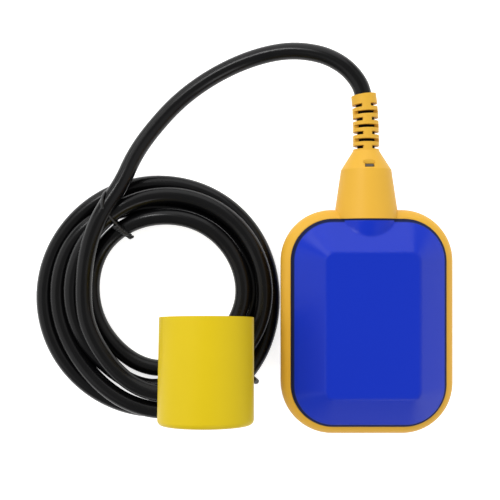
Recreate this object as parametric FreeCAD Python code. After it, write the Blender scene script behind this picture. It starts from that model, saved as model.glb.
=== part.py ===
import FreeCAD, Part
import math
import os

# Tethered float switch with its cable coiled beside it and its loose counterweight.
# Millimetres. +Y runs from the float up through the neck, +X to the right, +Z up.
# The origin is the middle of the rear cover's flat face, on which the float lies.

# Float body
BODY_WIDTH = 81.0
BODY_HEIGHT = 105.2
BODY_THICKNESS = 41.5
BODY_CORNER = 24.0
RING_THICKNESS = 16.0
RING_ROUND = 7.0
RIM = 4.5
REBATE_DEPTH = 1.5
LEDGE = 3.0

# Covers
COVER_WALL = 2.2
COVER_GAP = 0.12
EDGE_RISE = 1.8
EDGE_INSET = 1.0
FACE_WIDTH = 42.0
FACE_HEIGHT = 65.5
FACE_CORNER = 3.6
FACE_BREAK = 0.6

# Neck, a long cone that meets the ring and a short steep one up to the boot
NECK_BASE_RADIUS = 14.6
SHOULDER_RADIUS = 11.85
SHOULDER_RISE = 18.85
STEEP_RISE = 9.0
NECK_WALL = 2.4
WINDOW_WIDTH = 4.3
WINDOW_RISE = 0.55
WINDOW_HEIGHT = 1.6
PAD_WIDTH = 5.4
PAD_HEIGHT = 2.2
PAD_DEPTH = 0.7

# Strain-relief boot
BOOT_BASE_RADIUS = 6.2
BOOT_TIP_RADIUS = 5.9
BOOT_LENGTH = 26.6
BOOT_LEAN = 7.5
SLOT_ROWS = 7
SLOT_PITCH = 3.29
SLOT_HEIGHT = 1.5
SLOT_FIRST = 1.5
WEB_WIDTH = 4.0
FLARE_DEPTH = 4.5
FLARE = 0.7

# Cable
CABLE_DIAMETER = 8.1
CORE_DIAMETER = 2.5
CORE_SPREAD = 1.65
CABLE_GAP = 0.12

# Gland in the neck
GLAND_RADIUS = 9.2
NUT_RADIUS = 12.1
NUT_LENGTH = 5.0
SEAL_LENGTH = 7.0
FIT_GAP = 0.1
LATCH_WIDTH = 3.6
LATCH_HEIGHT = 1.0

# Sealed chamber of the switch
CHAMBER_HALF_WIDTH = 21.0
CHAMBER_LENGTH = 72.0
CHAMBER_THICKNESS = 17.5
CHAMBER_WALL = 2.0
CHAMBER_CORNER = 4.0
GASKET = 1.2
CHAMBER_SCREW_X = 17.5
CHAMBER_SCREW_INSET = 4.5
BOSS_RADIUS = 3.0
SCREW_RADIUS = 1.25
HEAD_RADIUS = 2.4
HEAD_HEIGHT = 1.8
SCREW_BITE = 6.5
TONGUE_LENGTH = 6.3
TONGUE_HALF_WIDTH = 9.5
CLAMP_LENGTH = 5.6
CLAMP_HEIGHT = 6.2
CLAMP_SCREW_X = 7.0
CLAMP_GAP = 0.8
NUT_CLEARANCE = 0.8

# Rolling ball and the lever it pushes
BALL_RADIUS = 6.5
BALL_X = 8.0
BALL_GAP = 0.3
GUIDE_HEIGHT = 3.9
GUIDE_WALL = 1.2
LEVER_THROW = 18.0
LEVER_ARM = 19.0
LEVER_LENGTH = 23.0
LEVER_THICKNESS = 0.6
LEVER_WIDTH = 5.0
LEVER_GAP = 0.4
PIN_RADIUS = 0.6
PIN_CLEARANCE = 0.05
KNUCKLE_WALL = 0.5

# Microswitch
SWITCH_LENGTH = 27.8
SWITCH_HEIGHT = 15.9
SWITCH_THICKNESS = 10.3
SWITCH_WALL = 1.8
SWITCH_LID = 2.0
SWITCH_HOLE_RADIUS = 1.5
SWITCH_HOLE_INSET = (3.4, 2.7)
SWITCH_CLEARANCE = 0.25
HOLE_SPACING_X = 22.2
HOLE_SPACING_Y = 10.3
HINGE_FROM_END = 5.0
PLUNGER_ARM = 4.0
PLUNGER_RADIUS = 1.3
PLUNGER_CLEARANCE = 0.08
PLUNGER_GAP = 0.45
BLADE_THICKNESS = 0.4
BLADE_WIDTH = 4.0
BLADE_ARM = 17.0
BLADE_PIVOT = (3.8, 7.6)
BLADE_WINDOW = 7.0
BLADE_THROW = 1.2
BUTTON_RADIUS = 1.1
BUTTON_HEIGHT = 0.5
CONTACT_GAP = 0.35
TAB_WIDTH = 4.7
TAB_THICKNESS = 0.8
TAB_LENGTH = 6.3
TAB_OFFSETS = (4.8, 15.0, 21.6)
CRIMP_LENGTH = 7.5
CRIMP_SEAT = 1.6
CRIMP_WALL = 0.7

# Coil of cable
COIL_X = -101.5
COIL_Y = 10.4
COIL_OUTER = 60.2
COIL_INNER = 33.0
COIL_HEIGHT = 19.4
COIL_DIP = 4.8
COIL_ROUND = 4.0
TIE_ANGLES = (115.0, -41.5)
TIE_WIDTH = 1.5
TIE_THICKNESS = 1.1
KNOT_LENGTH = 1.6
KNOT_HEIGHT = 4.0

# Counterweight
WEIGHT_DIAMETER = 43.0
WEIGHT_LENGTH = 47.5
WEIGHT_X = -74.7
WEIGHT_Y = -20.3
WEIGHT_TILT = 8.0
WEIGHT_WALL = 2.0
WEIGHT_BORE = 9.4
WEIGHT_CORNER = 2.4
CAP_THICKNESS = 2.6
CONE_MOUTH = 14.0
WEIGHT_LIFT = 0.55

# Route of the cable from the boot to the coil, after its first two points: chosen by hand
LEAD_POINTS = (
    (-5.3, 116.2, 20.7),
    (-12.0, 122.6, 20.2),
    (-22.2, 127.7, 18.4),
    (-37.5, 130.1, 14.6),
    (-55.5, 127.0, 10.0),
    (-74.0, 118.9, 6.7),
    (-90.5, 107.0, 5.2),
    (-103.5, 91.8, 5.0),
    (-111.6, 78.6, 7.0),
    (-115.9, 66.2, 10.0),
)
FIRST_RUN = 6.5

# Sizes that follow
MID = BODY_THICKNESS / 2
RING_HALF = RING_THICKNESS / 2
REBATE = RING_HALF - REBATE_DEPTH
COVER_WIDTH = BODY_WIDTH - 2 * RIM
COVER_HEIGHT = BODY_HEIGHT - 2 * RIM
COVER_CORNER = BODY_CORNER - RIM
CABLE_RADIUS = CABLE_DIAMETER / 2
BODY_TOP = BODY_HEIGHT / 2
COVER_TOP = COVER_HEIGHT / 2
OPENING_TOP = COVER_TOP - LEDGE
SHOULDER_Y = BODY_TOP + SHOULDER_RISE
BOOT_Y = SHOULDER_Y + STEEP_RISE
NECK_SLOPE = (NECK_BASE_RADIUS - SHOULDER_RADIUS) / SHOULDER_RISE
STEEP_SLOPE = (SHOULDER_RADIUS - BOOT_BASE_RADIUS) / STEEP_RISE
BORE_RADIUS = CABLE_RADIUS + CABLE_GAP
NUT_Y = OPENING_TOP
SEAL_Y = NUT_Y + NUT_LENGTH
SLEEVE_Y = SEAL_Y + SEAL_LENGTH
GLAND_CONE_Y = SHOULDER_Y - NECK_WALL / 2
CONE_TIP_Y = GLAND_CONE_Y + (GLAND_RADIUS - BORE_RADIUS) / STEEP_SLOPE
CHAMBER_HALF = CHAMBER_THICKNESS / 2
FLOOR = -BALL_RADIUS - BALL_GAP
CHAMBER_HEAD = NUT_Y - TONGUE_LENGTH - NUT_CLEARANCE
CHAMBER_TAIL = CHAMBER_HEAD - CHAMBER_LENGTH
BALL_Y = CHAMBER_TAIL + CHAMBER_WALL + BALL_RADIUS + BALL_GAP
LEVER_REACH = BALL_RADIUS + LEVER_THICKNESS / 2 + LEVER_GAP
THROW = math.radians(LEVER_THROW)
BALL_TRAVEL = (LEVER_REACH + LEVER_ARM * math.sin(THROW)) / math.cos(THROW) - LEVER_REACH
HINGE_X = BALL_X - LEVER_ARM
HINGE_Y = BALL_Y + BALL_TRAVEL + LEVER_REACH
KNUCKLE_RADIUS = PIN_RADIUS + PIN_CLEARANCE + KNUCKLE_WALL
SWITCH_X = HINGE_X - HINGE_FROM_END
SWITCH_Y = HINGE_Y + KNUCKLE_RADIUS + SWITCH_CLEARANCE
SWITCH_BOTTOM = SWITCH_Y + SWITCH_HEIGHT
SWITCH_HALF = SWITCH_THICKNESS / 2
LID_LEVEL = SWITCH_HALF - SWITCH_LID
HOLE_X = SWITCH_X + SWITCH_HOLE_INSET[0]
HOLE_Y = SWITCH_Y + SWITCH_HOLE_INSET[1]
PLUNGER_X = HINGE_X + PLUNGER_ARM
PLUNGER_TRAVEL = PLUNGER_ARM * math.sin(THROW)
BLADE_X = SWITCH_X + BLADE_PIVOT[0]
BLADE_Y = SWITCH_Y + BLADE_PIVOT[1]
CONTACT_X = BLADE_X + BLADE_ARM
TAB_TOP = SWITCH_BOTTOM - SWITCH_WALL
CRIMP_Y = SWITCH_BOTTOM + CRIMP_SEAT
CORE_START = CRIMP_Y + CRIMP_LENGTH
SHEATH_END = CHAMBER_HEAD - CHAMBER_WALL - 2.5
SCREW_TAIL_Y = CHAMBER_TAIL + CHAMBER_SCREW_INSET
SCREW_HEAD_Y = CHAMBER_HEAD - CHAMBER_SCREW_INSET
WEIGHT_RADIUS = WEIGHT_DIAMETER / 2
TILT = math.radians(WEIGHT_TILT)
COIL_EDGE_Y = COIL_Y - math.sqrt(COIL_INNER**2 - (WEIGHT_X - COIL_X) ** 2)
WEIGHT_SEAT = COIL_HEIGHT - COIL_DIP + WEIGHT_LIFT
WEIGHT_Z = WEIGHT_SEAT + WEIGHT_RADIUS / math.cos(TILT) + (COIL_EDGE_Y - WEIGHT_Y) * math.tan(TILT)
TAB_CENTRES = [SWITCH_X + offset for offset in TAB_OFFSETS]

UP = FreeCAD.Vector(0, 0, 1)
ALONG = FreeCAD.Vector(0, 1, 0)


def vec(x, y, z):
    return FreeCAD.Vector(x, y, z)


def box(x0, x1, y0, y1, h0, h1):
    """Box between two corners; heights are measured from the float's middle plane."""
    return Part.makeBox(x1 - x0, y1 - y0, h1 - h0, vec(x0, y0, MID + h0))


def post(radius, x, y, h0, h1):
    return Part.makeCylinder(radius, h1 - h0, vec(x, y, MID + h0), UP)


def rod(radius, y0, y1, x=0.0, z=MID):
    return Part.makeCylinder(radius, y1 - y0, vec(x, y0, z), ALONG)


def outline(width, height, corner, h):
    """Rounded rectangle in a level plane, as one closed wire."""
    a = width / 2
    b = height / 2
    corner = min(corner, a * 0.98, b * 0.98)
    k = corner * (1 - math.sqrt(0.5))
    z = MID + h
    corners = ((a, b, 1, 1), (-a, b, -1, 1), (-a, -b, -1, -1), (a, -b, 1, -1))
    arcs = []
    for n, (x, y, sx, sy) in enumerate(corners):
        side = vec(x, y - sy * corner, z)
        middle = vec(x - sx * k, y - sy * k, z)
        end = vec(x - sx * corner, y, z)
        first, last = (side, end) if n % 2 == 0 else (end, side)
        arcs.append((first, middle, last))
    edges = []
    for n in range(4):
        first, middle, last = arcs[n]
        edges.append(Part.Arc(first, middle, last).toShape())
        edges.append(Part.LineSegment(last, arcs[(n + 1) % 4][0]).toShape())
    return Part.Wire(edges)


def slab(width, height, corner, h0, h1):
    return Part.Face(outline(width, height, corner, h0)).extrude(vec(0, 0, h1 - h0))


def turned(profile, x=0.0, z=MID):
    """Solid of revolution about a line along Y, from (radius, y) points."""
    points = [vec(x + r, y, z) for r, y in profile]
    wire = Part.makePolygon(points + points[:1])
    return Part.Face(wire).revolve(vec(x, 0, z), ALONG, 360)


def routed_tube(points, radius):
    """Tube along straight runs joined by tangent arcs, as wide as the runs allow."""
    edges = []
    radii = []
    start = points[0]
    for before, corner, after in zip(points, points[1:], points[2:]):
        run = min((corner - before).Length, (after - corner).Length)
        into = (corner - before).normalize()
        out = (after - corner).normalize()
        turn = into.getAngle(out)
        trim = 0.45 * run
        bend = trim / math.tan(turn / 2)
        first = corner - into * trim
        last = corner + out * trim
        inward = (out - into).normalize()
        middle = corner + inward * (bend / math.cos(turn / 2) - bend)
        edges.append(Part.LineSegment(start, first).toShape())
        edges.append(Part.Arc(first, middle, last).toShape())
        start = last
        radii.append(bend)
    edges.append(Part.LineSegment(start, points[-1]).toShape())
    path = Part.Wire(edges)
    heading = (points[1] - points[0]).normalize()
    ring = Part.Wire([Part.Circle(points[0], heading, radius).toShape()])
    tube = path.makePipeShell([ring], True, False)
    return tube, radii, path.Length


def fused(shapes):
    return shapes[0].multiFuse(shapes[1:]).removeSplitter()


# Boot centreline: it leans towards -X, more and more up to the tip


def boot_place(distance):
    """Place of a point on the boot's bent centreline, with local Y along it."""
    turn = math.radians(BOOT_LEAN) * (distance / BOOT_LENGTH) ** 2
    at = vec(-turn * distance / 3, BOOT_Y + distance * (1 - turn**2 / 10), MID)
    return FreeCAD.Placement(at, FreeCAD.Rotation(UP, math.degrees(turn)))


def boot_ring(distance, radius):
    place = boot_place(distance)
    heading = place.Rotation.multVec(ALONG)
    return Part.Wire([Part.Circle(place.Base, heading, radius).toShape()])


def bent_bar(first, last, radius_at, steps=6):
    """Round bar along the boot's centreline, its radius a function of distance."""
    stations = [first + (last - first) * n / steps for n in range(steps + 1)]
    return Part.makeLoft([boot_ring(s, radius_at(s)) for s in stations], True, False)


def boot_radius(distance):
    share = distance / BOOT_LENGTH
    return BOOT_BASE_RADIUS + (BOOT_TIP_RADIUS - BOOT_BASE_RADIUS) * share


def slot_cutters():
    """Pairs of slots, each row turned a quarter from the one below it."""
    cutters = []
    reach = 2 * BOOT_BASE_RADIUS
    web = WEB_WIDTH / 2
    for row in range(SLOT_ROWS):
        place = boot_place(SLOT_FIRST + row * SLOT_PITCH)
        for side in (-1, 1):
            corner = vec(web if side > 0 else -web - reach, -SLOT_HEIGHT / 2, -reach)
            cutter = Part.makeBox(reach, SLOT_HEIGHT, 2 * reach, corner)
            if row % 2:
                cutter.rotate(vec(0, 0, 0), ALONG, 90)
            cutter.Placement = place.multiply(cutter.Placement)
            cutters.append(cutter)
    return cutters


# Yellow frame: ring, neck and slotted boot in one moulding


def ring():
    body = slab(BODY_WIDTH, BODY_HEIGHT, BODY_CORNER, -RING_HALF, RING_HALF)
    rims = []
    for edge in body.Edges:
        if abs(abs(edge.BoundBox.ZMin - MID) - RING_HALF) < 0.01 and edge.BoundBox.ZLength < 0.01:
            rims.append(edge)
    return body.makeFillet(RING_ROUND, rims)


def neck():
    profile = (
        (0, OPENING_TOP),
        (NECK_BASE_RADIUS + NECK_SLOPE * (BODY_TOP - OPENING_TOP), OPENING_TOP),
        (SHOULDER_RADIUS, SHOULDER_Y),
        (BOOT_BASE_RADIUS, BOOT_Y),
        (0, BOOT_Y),
    )
    return turned(profile)


def neck_bore():
    profile = (
        (0, OPENING_TOP - 1),
        (NUT_RADIUS + FIT_GAP, OPENING_TOP - 1),
        (NUT_RADIUS + FIT_GAP, SEAL_Y),
        (GLAND_RADIUS, SEAL_Y),
        (GLAND_RADIUS, GLAND_CONE_Y),
        (BORE_RADIUS, CONE_TIP_Y),
        (BORE_RADIUS, BOOT_Y),
        (0, BOOT_Y),
    )
    return turned(profile)


def boot_bore_radius(distance):
    into_flare = distance - (BOOT_LENGTH - FLARE_DEPTH)
    return BORE_RADIUS + max(0.0, into_flare / FLARE_DEPTH) ** 2 * FLARE


def window_cutters():
    """Window over the gland's latch, and the flat pad above it."""
    foot = SHOULDER_Y + WINDOW_RISE
    top = foot + WINDOW_HEIGHT
    half = WINDOW_WIDTH / 2
    window = box(-half, half, foot, top, GLAND_RADIUS - 3, SHOULDER_RADIUS + 2)
    pad_level = SHOULDER_RADIUS - PAD_DEPTH - STEEP_SLOPE * (top + PAD_HEIGHT / 2 - SHOULDER_Y)
    pad = box(-PAD_WIDTH / 2, PAD_WIDTH / 2, top, top + PAD_HEIGHT, pad_level, SHOULDER_RADIUS + pad_level)
    return [window, pad]


def float_frame():
    sleeve_end = BOOT_LENGTH - FLARE_DEPTH
    boot = bent_bar(0, BOOT_LENGTH, boot_radius)
    frame = fused([ring(), neck(), boot])
    gap = 2 * COVER_GAP
    opening = (COVER_WIDTH - 2 * LEDGE, COVER_HEIGHT - 2 * LEDGE, COVER_CORNER - LEDGE)
    cuts = [slab(*opening, -RING_HALF, RING_HALF)]
    for low, high in ((REBATE, MID), (-MID, -REBATE)):
        cuts.append(slab(COVER_WIDTH + gap, COVER_HEIGHT + gap, COVER_CORNER + COVER_GAP, low, high))
    cuts.append(neck_bore())
    cuts.append(bent_bar(-0.01, sleeve_end, lambda s: BORE_RADIUS))
    cuts.append(bent_bar(sleeve_end, BOOT_LENGTH + 0.01, boot_bore_radius))
    return frame.cut(cuts + slot_cutters() + window_cutters())


# Blue covers


def cover_form(shrink, drop):
    """Outer form of a cover, or the hollow inside it when shrunk and dropped."""
    w = COVER_WIDTH - 2 * shrink
    h = COVER_HEIGHT - 2 * shrink
    corner = COVER_CORNER - shrink
    edge = RING_HALF + EDGE_RISE - drop
    top = MID - drop
    slope_end = FACE_BREAK * 0.6
    skirt = slab(w, h, corner, REBATE, RING_HALF - drop / 2)
    inset = 2 * EDGE_INSET
    foot_line = outline(w, h, corner, RING_HALF - drop / 2)
    edge_line = outline(w - inset, h - inset, corner - EDGE_INSET, edge)
    steep = Part.makeLoft([foot_line, edge_line], True, True)
    soft = 2 * FACE_BREAK
    less = 0.4 * shrink
    face_w = FACE_WIDTH - less
    face_h = FACE_HEIGHT - less
    slope = Part.makeLoft(
        [
            outline(w - inset, h - inset, corner - EDGE_INSET, edge),
            outline(face_w + soft, face_h + soft, FACE_CORNER + FACE_BREAK, top - slope_end),
            outline(face_w, face_h, FACE_CORNER, top),
        ],
        True,
        True,
    )
    return fused([skirt, steep, slope])


def bulge_radius():
    return NECK_BASE_RADIUS + NECK_SLOPE * (BODY_TOP - COVER_TOP)


def front_shell():
    form = cover_form(0, 0)
    hollow = cover_form(COVER_WALL, COVER_WALL)
    reach = COVER_TOP - FACE_HEIGHT / 2
    above = box(-BODY_WIDTH, BODY_WIDTH, 0, COVER_TOP, REBATE, MID)
    bulge = rod(bulge_radius(), COVER_TOP - reach, COVER_TOP).common(above)
    bulge_hollow = rod(bulge_radius() - COVER_WALL, COVER_TOP - 2 * reach, COVER_TOP + 1)
    shell = form.fuse(bulge).cut(hollow)
    return shell.cut(bulge_hollow).removeSplitter()


def front_cover():
    return front_shell()


def chamber_screw_places():
    return [(x, y) for x in (-CHAMBER_SCREW_X, CHAMBER_SCREW_X) for y in (SCREW_TAIL_Y, SCREW_HEAD_Y)]


def rear_cover():
    shell = front_shell().mirror(vec(0, 0, MID), UP)
    form = cover_form(0, 0).mirror(vec(0, 0, MID), UP)
    posts = [post(BOSS_RADIUS, x, y, -MID, -CHAMBER_HALF).common(form) for x, y in chamber_screw_places()]
    bite = -CHAMBER_HALF - SCREW_BITE
    holes = [post(SCREW_RADIUS, x, y, bite, -CHAMBER_HALF + 1) for x, y in chamber_screw_places()]
    return shell.fuse(posts).cut(holes).removeSplitter()


# Gland in the neck


def gland_nut():
    nut = rod(NUT_RADIUS, NUT_Y + FIT_GAP, SEAL_Y - FIT_GAP).cut(rod(BORE_RADIUS, NUT_Y, SEAL_Y))
    slot = box(-NUT_RADIUS, NUT_RADIUS, NUT_Y, NUT_Y + 1.6, -1.2, 1.2)
    return nut.cut(slot)


def cable_seal():
    radius = GLAND_RADIUS - FIT_GAP
    middle = (SEAL_Y + SLEEVE_Y) / 2
    profile = (
        (BORE_RADIUS, SEAL_Y),
        (radius, SEAL_Y),
        (radius, middle - 1.0),
        (radius - 0.6, middle),
        (radius, middle + 1.0),
        (radius, SLEEVE_Y - FIT_GAP),
        (BORE_RADIUS, SLEEVE_Y - FIT_GAP),
    )
    return turned(profile)


def gland_sleeve():
    """Grey bush with a tapered nose; its latch shows in the neck's window."""
    radius = GLAND_RADIUS - FIT_GAP
    profile = (
        (BORE_RADIUS, SLEEVE_Y),
        (radius, SLEEVE_Y),
        (radius, GLAND_CONE_Y),
        (BORE_RADIUS + 1.0, CONE_TIP_Y - (1.0 + FIT_GAP) / STEEP_SLOPE),
        (BORE_RADIUS, CONE_TIP_Y - (1.0 + FIT_GAP) / STEEP_SLOPE),
    )
    half = LATCH_WIDTH / 2
    middle = SHOULDER_Y + WINDOW_RISE + WINDOW_HEIGHT / 2
    low = middle - LATCH_HEIGHT / 2
    latch = box(-half, half, low, low + LATCH_HEIGHT, GLAND_RADIUS - 3, SHOULDER_RADIUS - 1.4)
    return turned(profile).fuse(latch).removeSplitter()


# Cable inside the float


def cable_sheath():
    straight = rod(CABLE_RADIUS, SHEATH_END, BOOT_Y)
    bent = bent_bar(0, BOOT_LENGTH - FLARE_DEPTH, lambda s: CABLE_RADIUS)
    return straight.fuse(bent)


def core(tab_x, x, h):
    points = [
        vec(x, SHEATH_END, MID + h),
        vec(x, SHEATH_END - 2.8, MID + h),
        vec(tab_x, CORE_START + 2.8, MID),
        vec(tab_x, CORE_START, MID),
    ]
    return routed_tube(points, CORE_DIAMETER / 2)[0]


def cores():
    half = CORE_SPREAD * 0.5
    side = CORE_SPREAD * math.sqrt(0.75)
    return {
        "core_common": core(TAB_CENTRES[0], -CORE_SPREAD, 0),
        "core_open": core(TAB_CENTRES[1], half, -side),
        "core_closed": core(TAB_CENTRES[2], half, side),
    }


# Chamber


def chamber_slab(inset, h0, h1):
    width = 2 * (CHAMBER_HALF_WIDTH - inset)
    height = CHAMBER_HEAD - CHAMBER_TAIL - 2 * inset
    block = slab(width, height, CHAMBER_CORNER - inset, h0, h1)
    block.translate(vec(0, (CHAMBER_HEAD + CHAMBER_TAIL) / 2, 0))
    return block


def chamber_screw_posts(radius, h0, h1):
    return [post(radius, x, y, h0, h1) for x, y in chamber_screw_places()]


def switch_hole_places():
    return [(HOLE_X, HOLE_Y), (HOLE_X + HOLE_SPACING_X, HOLE_Y + HOLE_SPACING_Y)]


def clamp_screw_y():
    return CHAMBER_HEAD + TONGUE_LENGTH / 2


def chamber_base():
    top = -GASKET / 2
    shell = chamber_slab(0, -CHAMBER_HALF, top).cut(chamber_slab(CHAMBER_WALL, FLOOR, top))
    extras = chamber_screw_posts(BOSS_RADIUS, FLOOR - 0.5, top)
    tongue = box(
        -TONGUE_HALF_WIDTH,
        TONGUE_HALF_WIDTH,
        CHAMBER_HEAD - CHAMBER_WALL / 2,
        CHAMBER_HEAD + TONGUE_LENGTH,
        -CHAMBER_HALF,
        top,
    )
    extras.append(tongue)
    guide_y = CHAMBER_TAIL + CHAMBER_WALL / 2
    guide_end = BALL_Y + BALL_TRAVEL
    inner = math.sqrt(BALL_RADIUS**2 - (BALL_RADIUS + BALL_GAP - GUIDE_HEIGHT) ** 2) + LEVER_GAP
    for side in (-1, 1):
        near = BALL_X + side * inner
        far = near + side * GUIDE_WALL
        left, right = sorted((near, far))
        extras.append(box(left, right, guide_y, guide_end, FLOOR - 0.5, FLOOR + GUIDE_HEIGHT))
    for x, y in switch_hole_places():
        extras.append(post(SWITCH_HOLE_RADIUS + 1.2, x, y, FLOOR - 0.5, -SWITCH_HALF))
        extras.append(post(SWITCH_HOLE_RADIUS - FIT_GAP, x, y, FLOOR, SWITCH_HALF))
    cuts = [rod(BORE_RADIUS, CHAMBER_HEAD - CHAMBER_WALL - 1, CHAMBER_HEAD + TONGUE_LENGTH + 1)]
    cuts += chamber_screw_posts(SCREW_RADIUS, -CHAMBER_HALF - 1, 0)
    for x in (-CLAMP_SCREW_X, CLAMP_SCREW_X):
        cuts.append(post(SCREW_RADIUS, x, clamp_screw_y(), -CHAMBER_HALF + 1.2, 0))
    return fused([shell] + extras).cut(cuts)


def chamber_seal():
    ring_shape = chamber_slab(0.2, -GASKET / 2, GASKET / 2).cut(
        chamber_slab(CHAMBER_WALL - 0.2, -GASKET, GASKET)
    )
    pads = chamber_screw_posts(BOSS_RADIUS - 0.2, -GASKET / 2, GASKET / 2)
    cuts = chamber_screw_posts(SCREW_RADIUS, -GASKET, GASKET)
    cuts.append(rod(BORE_RADIUS, CHAMBER_HEAD - CHAMBER_WALL - 1, CHAMBER_HEAD + 1))
    return fused([ring_shape] + pads).cut(cuts)


def chamber_lid():
    low = GASKET / 2
    inner_top = BALL_RADIUS + BALL_GAP
    shell = chamber_slab(0, low, CHAMBER_HALF).cut(chamber_slab(CHAMBER_WALL, low, inner_top))
    bosses = chamber_screw_posts(BOSS_RADIUS, low, inner_top + 0.5)
    cuts = chamber_screw_posts(SCREW_RADIUS, 0, CHAMBER_HALF + 1)
    cuts += chamber_screw_posts(HEAD_RADIUS + FIT_GAP, CHAMBER_HALF - HEAD_HEIGHT, CHAMBER_HALF + 1)
    cuts.append(rod(BORE_RADIUS, CHAMBER_HEAD - CHAMBER_WALL - 1, CHAMBER_HEAD + 1))
    return fused([shell] + bosses).cut(cuts)


def screw(x, y, head_top, tip):
    head = post(HEAD_RADIUS, x, y, head_top - HEAD_HEIGHT, head_top)
    cross = [
        box(x - 1.5, x + 1.5, y - 0.3, y + 0.3, head_top - 1.0, head_top + 1),
        box(x - 0.3, x + 0.3, y - 1.5, y + 1.5, head_top - 1.0, head_top + 1),
    ]
    return head.cut(cross).fuse(post(SCREW_RADIUS, x, y, tip, head_top - HEAD_HEIGHT)).removeSplitter()


def chamber_screws():
    tip = -CHAMBER_HALF - SCREW_BITE + 0.5
    return Part.makeCompound([screw(x, y, CHAMBER_HALF, tip) for x, y in chamber_screw_places()])


def cable_clamp():
    start = clamp_screw_y() - CLAMP_LENGTH / 2
    saddle = box(-TONGUE_HALF_WIDTH, TONGUE_HALF_WIDTH, start, start + CLAMP_LENGTH, CLAMP_GAP, CLAMP_HEIGHT)
    ends = [e for e in saddle.Edges if e.BoundBox.YLength > 1 and e.BoundBox.ZMin > MID + CLAMP_HEIGHT - 0.1]
    saddle = saddle.makeFillet(2.0, ends)
    cuts = [rod(BORE_RADIUS, start - 1, start + CLAMP_LENGTH + 1)]
    seat = CLAMP_HEIGHT - HEAD_HEIGHT
    for x in (-CLAMP_SCREW_X, CLAMP_SCREW_X):
        cuts.append(post(SCREW_RADIUS + FIT_GAP, x, clamp_screw_y(), 0, CLAMP_HEIGHT))
        cuts.append(post(HEAD_RADIUS + FIT_GAP, x, clamp_screw_y(), seat, CLAMP_HEIGHT + 1))
    return saddle.cut(cuts)


def clamp_screws():
    tip = -CHAMBER_HALF + 1.7
    places = (-CLAMP_SCREW_X, CLAMP_SCREW_X)
    return Part.makeCompound([screw(x, clamp_screw_y(), CLAMP_HEIGHT, tip) for x in places])


# Ball, lever and pin


def steel_ball():
    return Part.makeSphere(BALL_RADIUS, vec(BALL_X, BALL_Y, MID))


def switch_lever():
    half = LEVER_WIDTH / 2
    knuckle = post(KNUCKLE_RADIUS, HINGE_X, HINGE_Y, -half, half)
    strip = box(
        HINGE_X,
        HINGE_X + LEVER_LENGTH,
        HINGE_Y - LEVER_THICKNESS / 2,
        HINGE_Y + LEVER_THICKNESS / 2,
        -half,
        half,
    )
    across = [e for e in strip.Edges if e.BoundBox.YLength > 0.1 and e.Length < 1]
    tip = [e for e in across if e.BoundBox.XMin > HINGE_X + 1]
    strip = strip.makeFillet(LEVER_WIDTH / 4, tip)
    lever = knuckle.fuse(strip).removeSplitter()
    lever = lever.cut(post(PIN_RADIUS + PIN_CLEARANCE, HINGE_X, HINGE_Y, -half - 1, half + 1))
    lever.rotate(vec(HINGE_X, HINGE_Y, MID), UP, -LEVER_THROW)
    return lever


def lever_pin():
    return post(PIN_RADIUS, HINGE_X, HINGE_Y, -SWITCH_HALF, SWITCH_HALF)


# Microswitch


def ear(h0, h1):
    half = KNUCKLE_RADIUS + 0.3
    plate = box(HINGE_X - half, HINGE_X + half, HINGE_Y, SWITCH_Y + 0.5, h0, h1)
    return plate.fuse(post(half, HINGE_X, HINGE_Y, h0, h1))


def switch_cavity(h0, h1):
    x0 = SWITCH_X + SWITCH_WALL
    x1 = SWITCH_X + SWITCH_LENGTH - SWITCH_WALL
    hollow = box(x0, x1, SWITCH_Y + SWITCH_WALL, TAB_TOP, h0, h1)
    posts = [post(SWITCH_HOLE_RADIUS + 0.9, x, y, h0 - 1, h1 + 1) for x, y in switch_hole_places()]
    return hollow.cut(posts)


def switch_holes():
    reach = SWITCH_HALF + 1
    return [post(SWITCH_HOLE_RADIUS, x, y, -reach, reach) for x, y in switch_hole_places()]


def tab_slots():
    half = TAB_WIDTH / 2
    thick = TAB_THICKNESS / 2
    return [box(x - half, x + half, TAB_TOP - 1, SWITCH_BOTTOM + 1, -thick, thick) for x in TAB_CENTRES]


def switch_base():
    block = box(SWITCH_X, SWITCH_X + SWITCH_LENGTH, SWITCH_Y, SWITCH_BOTTOM, -SWITCH_HALF, LID_LEVEL)
    block = fused([block, ear(-SWITCH_HALF, -LEVER_WIDTH / 2 - 0.2)])
    cuts = [switch_cavity(-SWITCH_HALF + SWITCH_WALL, LID_LEVEL)]
    cuts.append(rod(PLUNGER_RADIUS + PLUNGER_CLEARANCE, SWITCH_Y - 1, SWITCH_Y + SWITCH_WALL + 1, PLUNGER_X))
    cuts.append(post(PIN_RADIUS, HINGE_X, HINGE_Y, -SWITCH_HALF - 1, 0))
    return block.cut(cuts + switch_holes() + tab_slots())


def switch_cover():
    plate = box(SWITCH_X, SWITCH_X + SWITCH_LENGTH, SWITCH_Y, SWITCH_BOTTOM, LID_LEVEL, SWITCH_HALF)
    plate = fused([plate, ear(LID_LEVEL, SWITCH_HALF)])
    cuts = [post(PIN_RADIUS, HINGE_X, HINGE_Y, 0, SWITCH_HALF + 1)]
    return plate.cut(cuts + switch_holes())


def switch_plunger():
    top = HINGE_Y + LEVER_THICKNESS / 2 + PLUNGER_GAP - PLUNGER_TRAVEL
    collar = SWITCH_Y + SWITCH_WALL + 0.3
    foot = BLADE_Y - BLADE_THICKNESS / 2 - 0.4 - PLUNGER_TRAVEL
    profile = (
        (0, top),
        (PLUNGER_RADIUS * 0.6, top),
        (PLUNGER_RADIUS, top + 0.4),
        (PLUNGER_RADIUS, collar),
        (PLUNGER_RADIUS + 0.5, collar),
        (PLUNGER_RADIUS + 0.5, collar + 0.8),
        (PLUNGER_RADIUS * 0.6, collar + 0.8),
        (PLUNGER_RADIUS * 0.6, foot),
        (0, foot),
    )
    return turned(profile, PLUNGER_X)


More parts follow.
